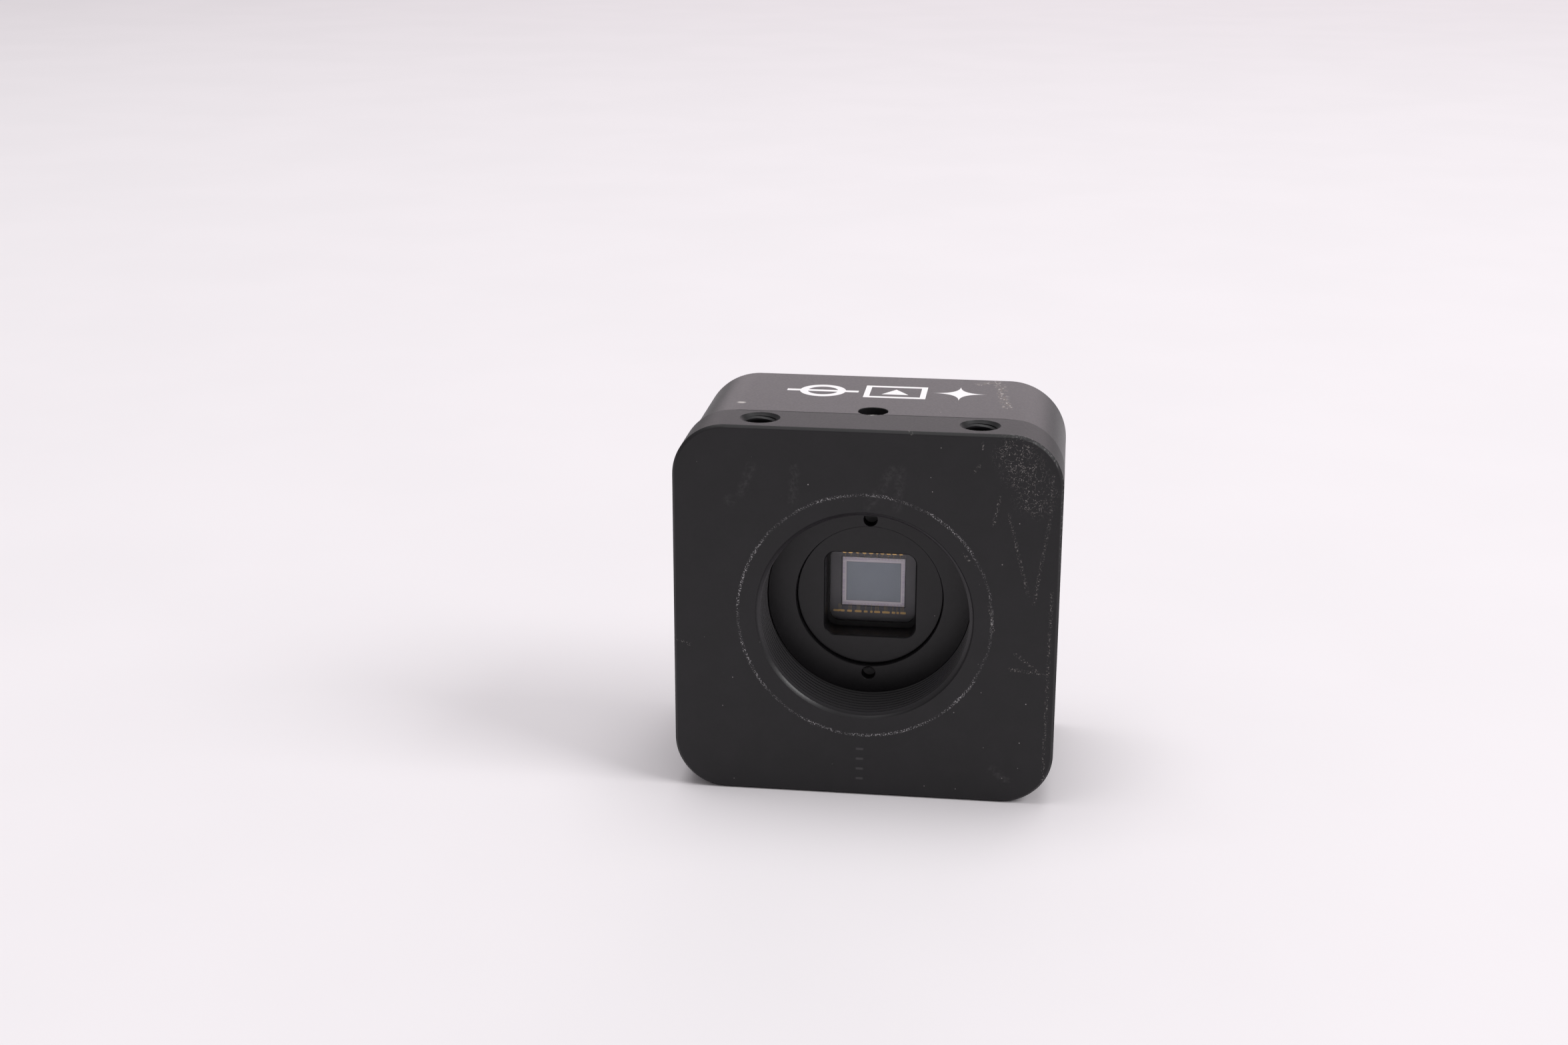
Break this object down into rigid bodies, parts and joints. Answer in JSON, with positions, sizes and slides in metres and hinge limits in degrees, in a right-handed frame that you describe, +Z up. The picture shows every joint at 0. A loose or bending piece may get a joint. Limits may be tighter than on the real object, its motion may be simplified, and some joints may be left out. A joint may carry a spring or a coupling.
{
  "type": "compact astronomy camera",
  "caption": "Square black camera head in a two-part machined case, with a threaded lens mount, an adjustable back-focus ring and an image sensor behind a window mask.",
  "frame": {"origin": "centre of the flat bottom's bounding box, on the surface that the case stands on", "axes": "+Z up, -Y out of the lens mount along the lens axis, +X to the right seen from the front"},
  "size_m": [0.045, 0.0262, 0.0452],
  "materials": {
    "black_anodised": "bead-blasted and anodised matt black",
    "black_steel": "black oxide, oiled",
    "plain_steel": "bright nickel plate",
    "circuit_board": "green solder mask",
    "chip_plastic": "moulded epoxy",
    "connector_plastic": "black glass-filled nylon",
    "gasket_rubber": "matt",
    "gap_pad": "soft silicone, slightly tacky",
    "package_ceramic": "sintered, matt",
    "silicon": "polished silicon with a colour filter array",
    "lid_glass": "clear, polished both sides",
    "clear_plastic": "clear moulded acrylic",
    "flex_film": "amber polyimide film"
  },
  "bodies": {
    "housing": {"front_shell": "black_anodised", "rear_shell": "black_anodised", "housing_screw_1": "black_steel", "housing_screw_2": "black_steel", "housing_screw_3": "black_steel", "housing_screw_4": "black_steel", "power_inductor": "black_steel", "guide_pin_left": "plain_steel", "guide_pin_right": "plain_steel", "board_spacer_1": "plain_steel", "board_spacer_2": "plain_steel", "board_spacer_3": "plain_steel", "board_spacer_4": "plain_steel", "main_board_screw_1": "plain_steel", "main_board_screw_2": "plain_steel", "main_board_screw_3": "plain_steel", "main_board_screw_4": "plain_steel", "clock_crystal": "plain_steel", "usb_socket": "plain_steel", "trigger_socket": "plain_steel", "trigger_nut": "plain_steel", "main_board": "circuit_board", "image_processor": "chip_plastic", "frame_memory": "chip_plastic", "main_connector": "connector_plastic", "usb_tongue": "connector_plastic", "trigger_insert": "connector_plastic", "housing_gasket": "gasket_rubber", "thermal_pad": "gap_pad", "status_lamp": "clear_plastic", "light_pipe": "clear_plastic", "sensor_flex": "flex_film"},
    "sensor_carriage": {"sensor_mask": "black_anodised", "sensor_seal": "gasket_rubber", "sensor_plate": "black_anodised", "sensor_glass": "lid_glass", "sensor_package": "package_ceramic", "sensor_die": "silicon", "sensor_board": "circuit_board", "sensor_board_screw_1": "plain_steel", "sensor_board_screw_2": "plain_steel", "sensor_board_screw_3": "plain_steel", "sensor_board_screw_4": "plain_steel", "sensor_connector": "connector_plastic"},
    "focus_ring": {"back_focus_ring": "black_anodised", "ring_retainer": "black_anodised"},
    "lock": {"lock_screw": "plain_steel"}
  },
  "joints": [
    {"name": "carriage_slide", "type": "slide", "parent": "housing", "child": "sensor_carriage", "axis": [0, 1, 0], "range_m": [-0.000396, 0.000396]},
    {"name": "ring_turn", "type": "hinge", "parent": "sensor_carriage", "child": "focus_ring", "pos_m": [0, -0.00436, 0.0226], "axis": [0, 1, 0], "range_deg": [-180, 180]},
    {"name": "lock_screw_turn", "type": "hinge", "parent": "housing", "child": "lock", "pos_m": [0, -0.00476, 0.039], "axis": [0, 0, 1], "range_deg": [0, 540]}
  ],
  "couplings": [
    {"joint": "ring_turn", "follows": "carriage_slide", "rad_per_m": 7915.8}
  ]
}
